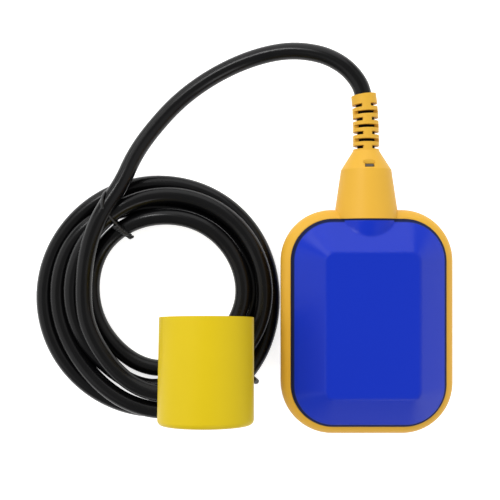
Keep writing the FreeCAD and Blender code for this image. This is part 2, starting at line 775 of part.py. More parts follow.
def contact_blade():
    half = BLADE_WIDTH / 2
    thick = BLADE_THICKNESS / 2
    strip = box(BLADE_X, CONTACT_X + BUTTON_RADIUS + 0.3, BLADE_Y - thick, BLADE_Y + thick, -half, half)
    root = post(0.5, BLADE_X, BLADE_Y, -half, half)
    reach = thick + BUTTON_HEIGHT
    buttons = rod(BUTTON_RADIUS, BLADE_Y - reach, BLADE_Y + reach, CONTACT_X)
    far = CONTACT_X - 2 * BUTTON_RADIUS
    window = box(BLADE_X + BLADE_WINDOW, far, BLADE_Y - 1, BLADE_Y + 1, -half / 2, half / 2)
    return fused([strip, root, buttons]).cut(window)


def tab(x):
    half = TAB_WIDTH / 2
    thick = TAB_THICKNESS / 2
    blank = box(x - half, x + half, TAB_TOP - 0.8, SWITCH_BOTTOM + TAB_LENGTH, -thick, thick)
    across = [e for e in blank.Edges if e.BoundBox.ZLength > 0.1 and e.Length < 1]
    corners = [e for e in across if e.BoundBox.YMin > SWITCH_BOTTOM]
    return blank.makeChamfer(1.0, corners)


def terminal_common():
    """Common terminal, with the notch in which the blade's root rocks."""
    half = BLADE_WIDTH / 2
    leg_x = SWITCH_X + SWITCH_WALL + 0.1
    leg = box(leg_x, leg_x + 0.9, BLADE_Y - 1.1, TAB_TOP - 0.2, -half, half)
    shelf = box(leg_x, TAB_CENTRES[0] + 1, TAB_TOP - 0.9, TAB_TOP - 0.1, -half, half)
    lips = [
        box(leg_x, BLADE_X + 0.1, BLADE_Y - 1.1, BLADE_Y - 0.6, -half, half),
        box(leg_x, BLADE_X + 0.1, BLADE_Y + 0.6, BLADE_Y + 1.1, -half, half),
    ]
    return fused([tab(TAB_CENTRES[0]), leg, shelf] + lips)


def fixed_contact(tab_x, leg_x, face, away):
    """Terminal whose arm holds a contact button facing the blade."""
    half = BLADE_WIDTH / 2
    root = face + away * BUTTON_HEIGHT
    back = root + away * 0.8
    low = min(root, back)
    high = max(root, back)
    left = min(leg_x, CONTACT_X - BUTTON_RADIUS)
    right = max(leg_x + 0.8, CONTACT_X + BUTTON_RADIUS)
    arm = box(left, right, low, high, -half, half)
    leg = box(leg_x, leg_x + 0.8, low, TAB_TOP - 0.2, -half, half)
    shelf = box(min(leg_x, tab_x - 1), max(leg_x + 0.8, tab_x + 1), TAB_TOP - 0.9, TAB_TOP - 0.1, -half, half)
    button = rod(BUTTON_RADIUS, min(face, root), max(face, root), CONTACT_X)
    return fused([tab(tab_x), arm, leg, shelf, button])


def terminal_open():
    face = BLADE_Y + BLADE_THICKNESS / 2 + BUTTON_HEIGHT + BLADE_THROW + CONTACT_GAP
    return fixed_contact(TAB_CENTRES[1], TAB_CENTRES[1], face, 1)


def terminal_closed():
    face = BLADE_Y - BLADE_THICKNESS / 2 - BUTTON_HEIGHT - CONTACT_GAP
    return fixed_contact(TAB_CENTRES[2], CONTACT_X + BUTTON_RADIUS + CONTACT_GAP, face, -1)


def crimp(x):
    half = TAB_WIDTH / 2 + CRIMP_WALL
    body = box(x - half, x + half, CRIMP_Y, CORE_START, -CORE_DIAMETER / 2, CORE_DIAMETER / 2)
    sides = [e for e in body.Edges if e.BoundBox.YLength > 1]
    body = body.makeFillet(0.8, sides)
    thick = TAB_THICKNESS / 2 + 0.05
    half = TAB_WIDTH / 2 + 0.05
    socket = box(x - half, x + half, CRIMP_Y - 1, SWITCH_BOTTOM + TAB_LENGTH + 0.2, -thick, thick)
    return body.cut(socket)


def crimp_sleeves():
    return Part.makeCompound([crimp(x) for x in TAB_CENTRES])


# Cable outside the float


def lead_points():
    start = boot_place(BOOT_LENGTH - FLARE_DEPTH)
    first = start.Base + start.Rotation.multVec(ALONG) * FIRST_RUN
    return [start.Base, first] + [vec(*p) for p in LEAD_POINTS]


def cable_lead():
    tube, radii, length = routed_tube(lead_points(), CABLE_RADIUS)
    ideal = math.pi * CABLE_RADIUS**2 * length
    print("lead length", round(length, 1), "volume ratio", round(tube.Volume / ideal, 4))
    print("lead radii", [round(r, 1) for r in radii])
    return tube


def rounded_section(corners, radius):
    """Closed wire in the XZ plane through the corners, each of them rounded."""
    arcs = []
    for n, corner in enumerate(corners):
        before = (corners[n - 1] - corner).normalize()
        after = (corners[(n + 1) % len(corners)] - corner).normalize()
        inward = (before + after).normalize()
        half = before.getAngle(after) / 2
        cut = radius / math.tan(half)
        middle = corner + inward * (radius / math.sin(half) - radius)
        arcs.append((corner + before * cut, middle, corner + after * cut))
    edges = []
    for n, (first, middle, last) in enumerate(arcs):
        following = arcs[(n + 1) % len(arcs)][0]
        edges.append(Part.Arc(first, middle, last).toShape())
        edges.append(Part.LineSegment(last, following).toShape())
    return Part.Wire(edges)


def coil_section(inset):
    """Section of the bundle, which stands highest where the outer turns lie on each other."""
    near = COIL_INNER + inset
    far = COIL_OUTER - inset
    top = COIL_HEIGHT - inset
    corners = (vec(near, 0, inset), vec(far, 0, inset), vec(far, 0, top), vec(near, 0, top - COIL_DIP))
    return rounded_section(corners, COIL_ROUND - inset / 2)


def placed_on_coil(shape, angle):
    shape.rotate(vec(0, 0, 0), UP, angle)
    shape.translate(vec(COIL_X, COIL_Y, 0))
    return shape


def tie(angle):
    """Wire tie round the bundle, with its twisted end against the outside."""
    loop = Part.Face(coil_section(0)).cut(Part.Face(coil_section(TIE_THICKNESS)))
    band = loop.extrude(vec(0, TIE_WIDTH, 0))
    knot_z = COIL_HEIGHT / 2 - KNOT_HEIGHT / 2
    knot = Part.makeBox(KNOT_LENGTH + 0.5, TIE_WIDTH, KNOT_HEIGHT, vec(COIL_OUTER - 0.5, 0, knot_z))
    knot = knot.makeFillet(0.6, knot.Edges)
    band = band.fuse(knot)
    band.translate(vec(0, -TIE_WIDTH / 2, 0))
    return placed_on_coil(band.removeSplitter(), angle)


def tie_space(angle):
    loop = Part.Face(coil_section(-TIE_THICKNESS)).cut(Part.Face(coil_section(TIE_THICKNESS)))
    band = loop.extrude(vec(0, TIE_WIDTH, 0))
    band.translate(vec(0, -TIE_WIDTH / 2, 0))
    return placed_on_coil(band, angle)


def cable_coil():
    coil = Part.Face(coil_section(0)).revolve(vec(0, 0, 0), UP, 360)
    coil = placed_on_coil(coil, 0)
    return coil.cut([tie_space(angle) for angle in TIE_ANGLES])


# Counterweight: a shell filled with ballast, closed by a cap, and the ring that grips the cable


def on_weight(profile):
    return turned([(r, WEIGHT_Y + y) for r, y in profile], WEIGHT_X, WEIGHT_Z)


def tilted(shape):
    """The weight leans on the coil, its capped end dipping into the hole."""
    shape.rotate(vec(WEIGHT_X, WEIGHT_Y, WEIGHT_Z), vec(1, 0, 0), -WEIGHT_TILT)
    return shape


def weight_shell():
    """Moulded cup with a tube up its middle; the closed end points to -Y."""
    half = WEIGHT_LENGTH / 2
    bore = WEIGHT_BORE / 2
    tube = bore + WEIGHT_WALL
    inner = WEIGHT_RADIUS - WEIGHT_WALL
    open_end = half - CAP_THICKNESS
    profile = (
        (bore, -half),
        (WEIGHT_RADIUS, -half),
        (WEIGHT_RADIUS, open_end),
        (inner, open_end),
        (inner, -half + WEIGHT_WALL),
        (tube, -half + WEIGHT_WALL),
        (tube, open_end),
        (bore, open_end),
    )
    shell = on_weight(profile)
    foot = WEIGHT_Y - half
    edges = []
    for edge in shell.Edges:
        at_foot = abs(edge.BoundBox.YMax - foot) < 0.01
        if at_foot and edge.BoundBox.XLength > WEIGHT_DIAMETER - 0.1:
            edges.append(edge)
    return shell.makeFillet(WEIGHT_CORNER, edges)


def weight_core():
    half = WEIGHT_LENGTH / 2
    inner = WEIGHT_BORE / 2 + WEIGHT_WALL + FIT_GAP
    outer = WEIGHT_RADIUS - WEIGHT_WALL - FIT_GAP
    low = -half + WEIGHT_WALL
    high = half - CAP_THICKNESS - FIT_GAP
    return on_weight(((inner, low), (outer, low), (outer, high), (inner, high)))


def weight_cap():
    """Welded cap; its conical mouth holds the stop ring."""
    half = WEIGHT_LENGTH / 2
    bore = WEIGHT_BORE / 2
    mouth = CONE_MOUTH / 2
    low = half - CAP_THICKNESS
    return on_weight(((bore, low), (WEIGHT_RADIUS, low), (WEIGHT_RADIUS, half), (mouth, half)))


def stop_ring():
    """Split ring that bites on the cable to hold the weight."""
    half = WEIGHT_LENGTH / 2
    bore = WEIGHT_BORE / 2 + 0.2
    taper = (CONE_MOUTH - WEIGHT_BORE) / 2 / CAP_THICKNESS
    low = half - CAP_THICKNESS + (0.2 + 0.35) / taper
    edge = bore + 0.1
    tip = half - 0.3
    ring_shape = on_weight(
        ((bore, low), (edge, low), (edge + (tip - low) * taper, tip), (bore, tip))
    )
    slit = Part.makeBox(0.8, CAP_THICKNESS, WEIGHT_RADIUS, vec(WEIGHT_X - 0.4, WEIGHT_Y + low, WEIGHT_Z))
    return ring_shape.cut(slit)


def main():
    nodes = {
        "front_cover": front_cover(),
        "rear_cover": rear_cover(),
        "float_frame": float_frame(),
        "gland_nut": gland_nut(),
        "cable_seal": cable_seal(),
        "gland_sleeve": gland_sleeve(),
        "cable_sheath": cable_sheath(),
        "cable_clamp": cable_clamp(),
        "clamp_screws": clamp_screws(),
        "chamber_base": chamber_base(),
        "chamber_seal": chamber_seal(),
        "chamber_lid": chamber_lid(),
        "chamber_screws": chamber_screws(),
        "steel_ball": steel_ball(),
        "switch_base": switch_base(),
        "switch_cover": switch_cover(),
        "switch_lever": switch_lever(),
        "lever_pin": lever_pin(),
        "switch_plunger": switch_plunger(),
        "contact_blade": contact_blade(),
        "terminal_common": terminal_common(),
        "terminal_open": terminal_open(),
        "terminal_closed": terminal_closed(),
        "crimp_sleeves": crimp_sleeves(),
        "cable_lead": cable_lead(),
        "cable_coil": cable_coil(),
        "coil_tie_upper": tie(TIE_ANGLES[0]),
        "coil_tie_lower": tie(TIE_ANGLES[1]),
        "weight_shell": tilted(weight_shell()),
        "weight_core": tilted(weight_core()),
        "weight_cap": tilted(weight_cap()),
        "weight_stop_ring": tilted(stop_ring()),
    }
    nodes.update(cores())
    os.makedirs("parts", exist_ok=True)
    for name, shape in nodes.items():
        if not shape.isValid():
            print("not valid:", name)
        print(name, len(shape.Solids), round(shape.Volume, 1))
        shape.exportStep("parts/" + name + ".step")


main()
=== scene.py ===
import math

import bmesh
import bpy
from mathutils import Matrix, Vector, geometry


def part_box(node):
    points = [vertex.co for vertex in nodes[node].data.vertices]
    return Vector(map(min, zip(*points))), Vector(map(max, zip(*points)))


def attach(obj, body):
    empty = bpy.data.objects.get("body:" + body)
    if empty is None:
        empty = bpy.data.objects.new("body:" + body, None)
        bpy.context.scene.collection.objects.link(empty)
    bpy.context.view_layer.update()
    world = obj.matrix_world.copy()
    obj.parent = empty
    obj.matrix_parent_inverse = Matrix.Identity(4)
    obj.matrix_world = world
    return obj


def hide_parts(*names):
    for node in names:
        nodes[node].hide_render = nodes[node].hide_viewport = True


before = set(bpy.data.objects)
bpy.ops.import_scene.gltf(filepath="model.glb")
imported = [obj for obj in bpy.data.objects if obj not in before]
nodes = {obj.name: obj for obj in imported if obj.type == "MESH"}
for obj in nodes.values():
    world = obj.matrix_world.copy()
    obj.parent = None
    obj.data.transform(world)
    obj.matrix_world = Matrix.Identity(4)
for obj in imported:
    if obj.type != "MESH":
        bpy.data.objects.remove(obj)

scene = bpy.context.scene
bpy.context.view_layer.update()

# ---------------------------------------------------------------- camera
# The camera looks straight down on the float switch as it lies on a white table, with the
# float on the right and the coil of cable on the left.
CAMERA_PLACE = (-0.05498, 0.03839, 0.364)
CAMERA_LENS = 52.14
CAMERA_SENSOR = 36.0
CAMERA_SHIFT = -0.02
CAMERA_NEAREST = 0.01

camera = bpy.data.objects.new("camera", bpy.data.cameras.new("camera"))
scene.collection.objects.link(camera)
camera.location = CAMERA_PLACE
camera.data.lens = CAMERA_LENS
camera.data.sensor_width = CAMERA_SENSOR
camera.data.shift_y = CAMERA_SHIFT
camera.data.clip_start = CAMERA_NEAREST
scene.camera = camera
scene.view_settings.view_transform = "Standard"

# ---------------------------------------------------------------- cable
# One three-core cable in a smooth black rubber sheath, extruded round the twisted cores. It
# leaves the boot, comes down in an arch and lies in a coil of four turns that two ties hold,
# and its bare end is under the counterweight.
CABLE_DIAMETER = 0.0081
BOOT_MOUTH = (-0.00067, 0.10253, 0.02075)
LEAD = (
    BOOT_MOUTH,
    (-0.00125, 0.10901, 0.02075),
    (-0.0053, 0.1162, 0.0207),
    (-0.0120, 0.1226, 0.0202),
    (-0.0222, 0.1277, 0.0184),
    (-0.0375, 0.1301, 0.0146),
    (-0.0555, 0.1270, 0.0100),
    (-0.0740, 0.1189, 0.0072),
    (-0.0905, 0.1070, 0.0066),
    (-0.1035, 0.0918, 0.0090),
    (-0.1114, 0.0792, 0.0124),
    (-0.1164, 0.0659, 0.0162),
    (-0.1256, 0.0521, 0.0185),
    (-0.1309, 0.0398, 0.0185),
    (-0.1337, 0.0290, 0.0170),
    (-0.1351, 0.0194, 0.0150),
)
COIL_CENTRE = (-0.1015, 0.0104)
COIL_START = math.pi
COIL_RADII = (
    0.0339, 0.0363, 0.0458, 0.0498, 0.0542, 0.0538, 0.0498, 0.0432,
    0.0408, 0.0410, 0.0451, 0.0376, 0.0437, 0.0435, 0.0394, 0.0363,
    0.0322, 0.0318, 0.0359, 0.0375, 0.0490, 0.0462, 0.0444, 0.0488,
    0.0484, 0.0488, 0.0551, 0.0591, 0.0578, 0.0577, 0.0565, 0.0557,
    0.0560, 0.0561, 0.0564, 0.0574, 0.0580,
)
EIGHTH = 3
PER_TURN = 8 * EIGHTH
COIL_POINTS = 104
SAG = 9.0
HUMP_REACH = 3 * EIGHTH
LAYING_SWEEPS = 3
SMOOTHINGS = 2


def coil_radius(step):
    """Radius of the coil's line at a step, a smooth curve through the eighths of each turn."""
    eighth, part = divmod(step, EIGHTH)
    t = part / EIGHTH
    last = len(COIL_RADII) - 1
    a, b, c, d = (COIL_RADII[min(max(eighth + k, 0), last)] for k in (-1, 0, 1, 2))
    return b + 0.5 * t * (c - a + t * (2 * a - 5 * b + 4 * c - d + t * (3 * b - 3 * c + d - a)))


def lowest_place(radii, heights, step):
    """Height at which a strand comes to rest over the strands laid before it at that angle."""
    taken = []
    for other in range(step + PER_TURN, len(radii), PER_TURN):
        beside = abs(radii[step] - radii[other])
        if beside < CABLE_DIAMETER:
            rise = math.sqrt(CABLE_DIAMETER**2 - beside**2)
            taken.append((heights[other] - rise, heights[other] + rise))
    height = CABLE_DIAMETER / 2
    for low, high in sorted(taken):
        if low < height < high:
            height = high
    return height


def coil_heights(radii):
    """Resting heights of all the strands, with the stiff cable's long low humps."""
    turn_step = 2 * math.pi / PER_TURN
    heights = [CABLE_DIAMETER / 2] * len(radii)
    for sweep in range(LAYING_SWEEPS):
        laid = [lowest_place(radii, heights, k) for k in range(len(radii))]
        heights = []
        for k in range(len(laid)):
            near = range(max(k - HUMP_REACH, 0), min(k + HUMP_REACH, len(laid)))
            along = turn_step * radii[k]
            heights.append(max(laid[n] - SAG * ((n - k) * along) ** 2 for n in near))
    for smoothing in range(SMOOTHINGS):
        inner = [(a + 2 * b + c) / 4 for a, b, c in zip(heights, heights[1:], heights[2:])]
        heights = heights[:1] + inner + heights[-1:]
    return heights


def coil_line():
    """Points of the coil's line, from the strand on top to the cut end."""
    radii = [coil_radius(k) for k in range(COIL_POINTS)]
    line = []
    for k, (radius, height) in enumerate(zip(radii, coil_heights(radii))):
        angle = COIL_START + k * 2 * math.pi / PER_TURN
        x = COIL_CENTRE[0] + radius * math.cos(angle)
        y = COIL_CENTRE[1] + radius * math.sin(angle)
        line.append((x, y, height))
    return line


def nurbs_tube(name, points, diameter):
    """A round cord as a curve of one open spline, with the points as its control points."""
    curve = bpy.data.curves.new(name, "CURVE")
    curve.dimensions = "3D"
    curve.bevel_depth = diameter / 2
    curve.bevel_resolution = 7
    curve.resolution_u = 6
    curve.use_fill_caps = True
    spline = curve.splines.new("NURBS")
    spline.points.add(len(points) - 1)
    for place, point in zip(spline.points, points):
        place.co = (*point, 1.0)
    spline.order_u = 3
    spline.use_endpoint_u = True
    cord = bpy.data.objects.new(name, curve)
    scene.collection.objects.link(cord)
    return cord


def surface_group(name):
    """Shader group of soft mottling, fine grain and softened edges, on object coordinates."""
    group = bpy.data.node_groups.new(name, "ShaderNodeTree")
    for title, way, kind in (
        ("Color", "INPUT", "Color"),
        ("Variation", "INPUT", "Float"),
        ("Roughness", "INPUT", "Float"),
        ("Mottle Scale", "INPUT", "Float"),
        ("Grain Scale", "INPUT", "Float"),
        ("Grain Depth", "INPUT", "Float"),
        ("Edge Radius", "INPUT", "Float"),
        ("Color", "OUTPUT", "Color"),
        ("Roughness", "OUTPUT", "Float"),
        ("Normal", "OUTPUT", "Vector"),
    ):
        group.interface.new_socket(title, in_out=way, socket_type="NodeSocket" + kind)
    tree = group.nodes
    link = group.links.new
    given = tree.new("NodeGroupInput")
    put = tree.new("NodeGroupOutput")
    place = tree.new("ShaderNodeTexCoord")
    mottle = tree.new("ShaderNodeTexNoise")
    mottle.inputs["Detail"].default_value = 3.0
    link(place.outputs["Object"], mottle.inputs["Vector"])
    link(given.outputs["Mottle Scale"], mottle.inputs["Scale"])
    centred = tree.new("ShaderNodeMath")
    centred.operation = "SUBTRACT"
    centred.inputs[1].default_value = 0.5
    link(mottle.outputs["Fac"], centred.inputs[0])
    swing = tree.new("ShaderNodeMath")
    swing.operation = "MULTIPLY_ADD"
    swing.inputs[2].default_value = 1.0
    link(centred.outputs[0], swing.inputs[0])
    link(given.outputs["Variation"], swing.inputs[1])
    shade = tree.new("ShaderNodeHueSaturation")
    link(given.outputs["Color"], shade.inputs["Color"])
    link(swing.outputs[0], shade.inputs["Value"])
    link(shade.outputs["Color"], put.inputs["Color"])
    rough = tree.new("ShaderNodeMath")
    rough.operation = "MULTIPLY"
    rough.use_clamp = True
    link(given.outputs["Roughness"], rough.inputs[0])
    link(swing.outputs[0], rough.inputs[1])
    link(rough.outputs[0], put.inputs["Roughness"])
    grain = tree.new("ShaderNodeTexNoise")
    grain.inputs["Detail"].default_value = 2.0
    link(place.outputs["Object"], grain.inputs["Vector"])
    link(given.outputs["Grain Scale"], grain.inputs["Scale"])
    bump = tree.new("ShaderNodeBump")
    bump.inputs["Distance"].default_value = 0.0001
    link(given.outputs["Grain Depth"], bump.inputs["Strength"])
    link(grain.outputs["Fac"], bump.inputs["Height"])
    softened = tree.new("ShaderNodeBevel")
    softened.samples = 6
    link(given.outputs["Edge Radius"], softened.inputs["Radius"])
    link(softened.outputs["Normal"], bump.inputs["Normal"])
    link(bump.outputs["Normal"], put.inputs["Normal"])
    return group


FINISH = surface_group("surface_finish")


def finished(
    name, color, roughness, variation=0.1, mottle=60.0, grain=2500.0, depth=0.25, edge=0.0002
):
    """A material whose colour, gloss, fine relief and softened edges come from the group."""
    material = bpy.data.materials.new(name)
    material.use_nodes = True
    tree = material.node_tree
    shader = tree.nodes["Principled BSDF"]
    finish = tree.nodes.new("ShaderNodeGroup")
    finish.node_tree = FINISH
    for title, value in (
        ("Color", (*color, 1.0)),
        ("Variation", variation),
        ("Roughness", roughness),
        ("Mottle Scale", mottle),
        ("Grain Scale", grain),
        ("Grain Depth", depth),
        ("Edge Radius", edge),
    ):
        finish.inputs[title].default_value = value
    tree.links.new(finish.outputs["Color"], shader.inputs["Base Color"])
    tree.links.new(finish.outputs["Roughness"], shader.inputs["Roughness"])
    tree.links.new(finish.outputs["Normal"], shader.inputs["Normal"])
    return material


def principled(material):
    """The material's own shader node."""
    return material.node_tree.nodes["Principled BSDF"]


def dress(material, *names):
    """Gives CAD nodes a material in all of their slots."""
    for name in names:
        mesh = nodes[name].data
        mesh.materials.clear()
        mesh.materials.append(material)


rubber = finished(
    "cable_rubber", (0.0030, 0.0030, 0.0033), roughness=0.25, variation=0.5, mottle=90.0,
    grain=1400.0, depth=0.12, edge=0.0,
)
principled(rubber).inputs["Specular IOR Level"].default_value = 0.2
cable = nurbs_tube("cable", LEAD + tuple(coil_line()), CABLE_DIAMETER)
cable.data.materials.append(rubber)
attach(cable, "float")
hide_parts("cable_lead", "cable_coil")
sheath = finished(
    "sheath_rubber", (0.003, 0.0028, 0.0026), roughness=0.7, variation=0.4, mottle=90.0,
    grain=1400.0, depth=0.2, edge=0.0,
)
principled(sheath).inputs["Specular IOR Level"].default_value = 0.05
dress(sheath, "cable_sheath")

# ---------------------------------------------------------------- coil ties
# Each tie is one turn of thin black coated wire drawn tight round the strands, with its two
# ends twisted together: the upper one also holds the lead where it comes down on the coil.
TIE_RADIUS = 0.0007
TIE_HUG = CABLE_DIAMETER / 2 + 0.8 * TIE_RADIUS
ROUND_STEPS = 20
BOW_MIDDLE = 0.0445
BOW_REACH = 0.0110
PIGTAIL_TURNS = 4
PIGTAIL_STEPS = 10
PIGTAIL_POINTS = PIGTAIL_TURNS * PIGTAIL_STEPS
KNOT_SWING = 1.7
WIRE_FACETS = 3


def route_of(cord):
    """Points along a cord's own spline, read from a copy that has no thickness."""
    thread = bpy.data.objects.new("thread", cord.data.copy())
    thread.data.bevel_depth = 0.0
    line = bpy.data.meshes.new_from_object(thread)
    points = [vertex.co.copy() for vertex in line.vertices]
    bpy.data.meshes.remove(line)
    bpy.data.curves.remove(thread.data)
    return points


ROUTE = route_of(cable)


def sections_at(angle):
    """Where the cable crosses the half plane at an angle from the coil's centre."""
    across = (-math.sin(angle), math.cos(angle))
    along = (math.cos(angle), math.sin(angle))
    found = []
    for a, b in zip(ROUTE, ROUTE[1:]):
        sides = [
            (p[0] - COIL_CENTRE[0]) * across[0] + (p[1] - COIL_CENTRE[1]) * across[1]
            for p in (a, b)
        ]
        if sides[0] * sides[1] > 0 or sides[0] == sides[1]:
            continue
        t = sides[0] / (sides[0] - sides[1])
        place = [p + (q - p) * t for p, q in zip(a, b)]
        out = (place[0] - COIL_CENTRE[0]) * along[0] + (place[1] - COIL_CENTRE[1]) * along[1]
        if out > 0:
            found.append((out, place[2]))
    return found


def tie_loop(angle):
    """(radius, height) points of a taut loop round those sections, kept on the table."""
    rim = []
    for out, height in sections_at(angle):
        for k in range(ROUND_STEPS):
            turn = 2 * math.pi * k / ROUND_STEPS
            level = max(height + TIE_HUG * math.sin(turn), TIE_RADIUS)
            rim.append(Vector((out + TIE_HUG * math.cos(turn), level)))
    return [rim[k] for k in geometry.convex_hull_2d(rim)]


def pigtail(start, heading, length):
    """Centre lines of the two twisted ends, bulky at the knot and tight at the tip."""
    heading = heading.normalized()
    side = heading.cross(Vector((0, 0, 1))).normalized()
    rise = side.cross(heading)
    strands = []
    for phase in (0.0, math.pi):
        points = []
        for k in range(PIGTAIL_POINTS + 1):
            share = k / PIGTAIL_POINTS
            turn = phase + 2 * math.pi * k / PIGTAIL_STEPS
            reach = TIE_RADIUS * (KNOT_SWING + (1.0 - KNOT_SWING) * share)
            swing = (side * math.cos(turn) + rise * math.sin(turn)) * reach
            points.append(start + heading * (length * share) + swing)
        strands.append(points)
    return strands


def wire(curve, points, closed):
    """Adds a run of wire to a tie's curve."""
    spline = curve.splines.new("POLY")
    spline.points.add(len(points) - 1)
    for place, point in zip(spline.points, points):
        place.co = (*point, 1.0)
    spline.use_cyclic_u = closed


def on_tie(point, angle, bow):
    """Place of a (radius, height) point of a tie that bows sideways over the bundle."""
    turn = angle + bow * (1 - ((point[0] - BOW_MIDDLE) / BOW_REACH) ** 2)
    x = COIL_CENTRE[0] + point[0] * math.cos(turn)
    y = COIL_CENTRE[1] + point[0] * math.sin(turn)
    return Vector((x, y, point[1]))


def coil_tie(name, angle, bow, tail_from, tail_to):
    """A tie: the loop as one closed wire, and the twisted ends between two (radius, height)."""
    curve = bpy.data.curves.new(name, "CURVE")
    curve.dimensions = "3D"
    curve.bevel_depth = TIE_RADIUS
    curve.bevel_resolution = WIRE_FACETS
    curve.use_fill_caps = True
    wire(curve, [on_tie(point, angle, bow) for point in tie_loop(angle)], True)
    start = on_tie(tail_from, angle, bow)
    end = on_tie(tail_to, angle, bow)
    for points in pigtail(start, end - start, (end - start).length):
        wire(curve, points, False)
    tie = bpy.data.objects.new(name, curve)
    scene.collection.objects.link(tie)
    return tie


tie_coating = finished(
    "tie_wire", (0.006, 0.006, 0.0065), roughness=0.35, variation=0.3, mottle=200.0, grain=3000.0,
    depth=0.1, edge=0.0,
)
for name, angle, bow, tail_from, tail_to in (
    ("coil_tie_upper", math.radians(114.0), math.radians(5.0), (0.0400, 0.0150), (0.0314, 0.0070)),
    ("coil_tie_lower", math.radians(-40.5), 0.0, (0.0628, 0.0065), (0.0655, 0.0030)),
):
    tie = coil_tie(name + "_wire", angle, bow, tail_from, tail_to)
    tie.data.materials.append(tie_coating)
    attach(tie, "float")
    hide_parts(name)

# ---------------------------------------------------------------- covers
# Two glossy blue covers, moulded in polypropylene and pressed into the frame. Their steep rim
# and top end are painted dark navy as painted shade from the frame, and light runs along their
# softened edges.
BLUE = (0.003, 0.027, 0.47)
# Dark navy painted on the covers' rim and top end as painted shade from the frame.
RIM_PAINTED_SHADE = (0.004, 0.009, 0.050)
MIDDLE_LEVEL = (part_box("rear_cover")[0][2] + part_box("front_cover")[1][2]) / 2
RIM_FROM = 0.0099
RIM_TO = 0.0104
TOP_FROM = 0.0476
TOP_TO = 0.0471
BLUE_SPECULAR = 0.22
RIM_ROUGHNESS = 0.9

blue = finished(
    "blue_shell", BLUE, roughness=0.27, variation=0.05, mottle=25.0, grain=900.0, depth=0.04,
    edge=0.0020,
)
principled(blue).inputs["Specular IOR Level"].default_value = BLUE_SPECULAR


def paint_rim_shade(material, color, start, stop):
    """Paints a second, darker colour as painted shade near the middle plane's level and along the
    top end.
    """
    tree = material.node_tree
    place = tree.nodes.new("ShaderNodeTexCoord")
    split = tree.nodes.new("ShaderNodeSeparateXYZ")
    level = tree.nodes.new("ShaderNodeMath")
    level.operation = "SUBTRACT"
    level.inputs[1].default_value = MIDDLE_LEVEL
    height = tree.nodes.new("ShaderNodeMath")
    height.operation = "ABSOLUTE"
    fade = tree.nodes.new("ShaderNodeMapRange")
    fade.inputs["From Min"].default_value = start
    fade.inputs["From Max"].default_value = stop
    end = tree.nodes.new("ShaderNodeMapRange")
    end.inputs["From Min"].default_value = TOP_FROM
    end.inputs["From Max"].default_value = TOP_TO
    clear = tree.nodes.new("ShaderNodeMath")
    clear.operation = "MULTIPLY"
    blend = tree.nodes.new("ShaderNodeMix")
    blend.data_type = "RGBA"
    blend.inputs[6].default_value = (*color, 1.0)
    finish = next(n for n in tree.nodes if n.type == "GROUP")
    tree.links.new(place.outputs["Object"], split.inputs[0])
    tree.links.new(split.outputs["Z"], level.inputs[0])
    tree.links.new(level.outputs[0], height.inputs[0])
    tree.links.new(height.outputs[0], fade.inputs["Value"])
    tree.links.new(split.outputs["Y"], end.inputs["Value"])
    tree.links.new(fade.outputs["Result"], clear.inputs[0])
    tree.links.new(end.outputs["Result"], clear.inputs[1])
    tree.links.new(clear.outputs[0], blend.inputs["Factor"])
    tree.links.new(finish.outputs["Color"], blend.inputs[7])
    tree.links.new(blend.outputs[2], principled(material).inputs["Base Color"])
    dull = tree.nodes.new("ShaderNodeMix")
    dull.inputs["A"].default_value = RIM_ROUGHNESS
    tree.links.new(clear.outputs[0], dull.inputs["Factor"])
    tree.links.new(finish.outputs["Roughness"], dull.inputs["B"])
    tree.links.new(dull.outputs["Result"], principled(material).inputs["Roughness"])


# The rim and top end of both covers get painted shade in dark navy.
paint_rim_shade(blue, RIM_PAINTED_SHADE, RIM_FROM, RIM_TO)
dress(blue, "front_cover", "rear_cover")

# ---------------------------------------------------------------- frame
# The frame, neck and slotted boot are one moulding in yellow polypropylene with a satin skin.
# The covers are pressed into its two rebates, and its neck holds the gland.
YELLOW = (0.75, 0.415, 0.040)
YELLOW_SPECULAR = 0.22
yellow = finished(
    "yellow_frame", YELLOW, roughness=0.46, variation=0.05, mottle=30.0, grain=1600.0, depth=0.12,
    edge=0.0004,
)
principled(yellow).inputs["Specular IOR Level"].default_value = YELLOW_SPECULAR
dress(yellow, "float_frame")

# ---------------------------------------------------------------- gland
# The gland keeps the water out where the cable comes in: a grey nylon sleeve and nut in the
# neck press a black rubber ring on the cable.
grey_nylon = finished(
    "grey_nylon", (0.11, 0.105, 0.10), roughness=0.45, variation=0.1, mottle=120.0, grain=2200.0,
    depth=0.2,
)
dress(grey_nylon, "gland_sleeve", "gland_nut")
seal_rubber = finished(
    "seal_rubber", (0.012, 0.012, 0.012), roughness=0.6, variation=0.3, mottle=150.0,
    grain=1800.0, depth=0.3,
)
dress(seal_rubber, "cable_seal", "chamber_seal")

# ---------------------------------------------------------------- chamber
# The dry chamber is moulded in a grey-white plastic: a base with guides and posts, a lid on a
# rubber cord, and the saddle that clamps the cable, all held by zinc-plated screws.
chamber_plastic = finished(
    "chamber_plastic", (0.62, 0.62, 0.59), roughness=0.48, variation=0.06, mottle=50.0,
    grain=1500.0, depth=0.25,
)
dress(chamber_plastic, "chamber_base", "chamber_lid")
white_nylon = finished(
    "white_nylon", (0.72, 0.71, 0.66), roughness=0.4, variation=0.06, mottle=90.0, grain=2000.0,
    depth=0.15,
)
dress(white_nylon, "cable_clamp", "weight_stop_ring")
zinc = finished(
    "zinc_screw", (0.60, 0.61, 0.62), roughness=0.32, variation=0.2, mottle=400.0, grain=6000.0,
    depth=0.15,
)
principled(zinc).inputs["Metallic"].default_value = 1.0
dress(zinc, "chamber_screws", "clamp_screws")

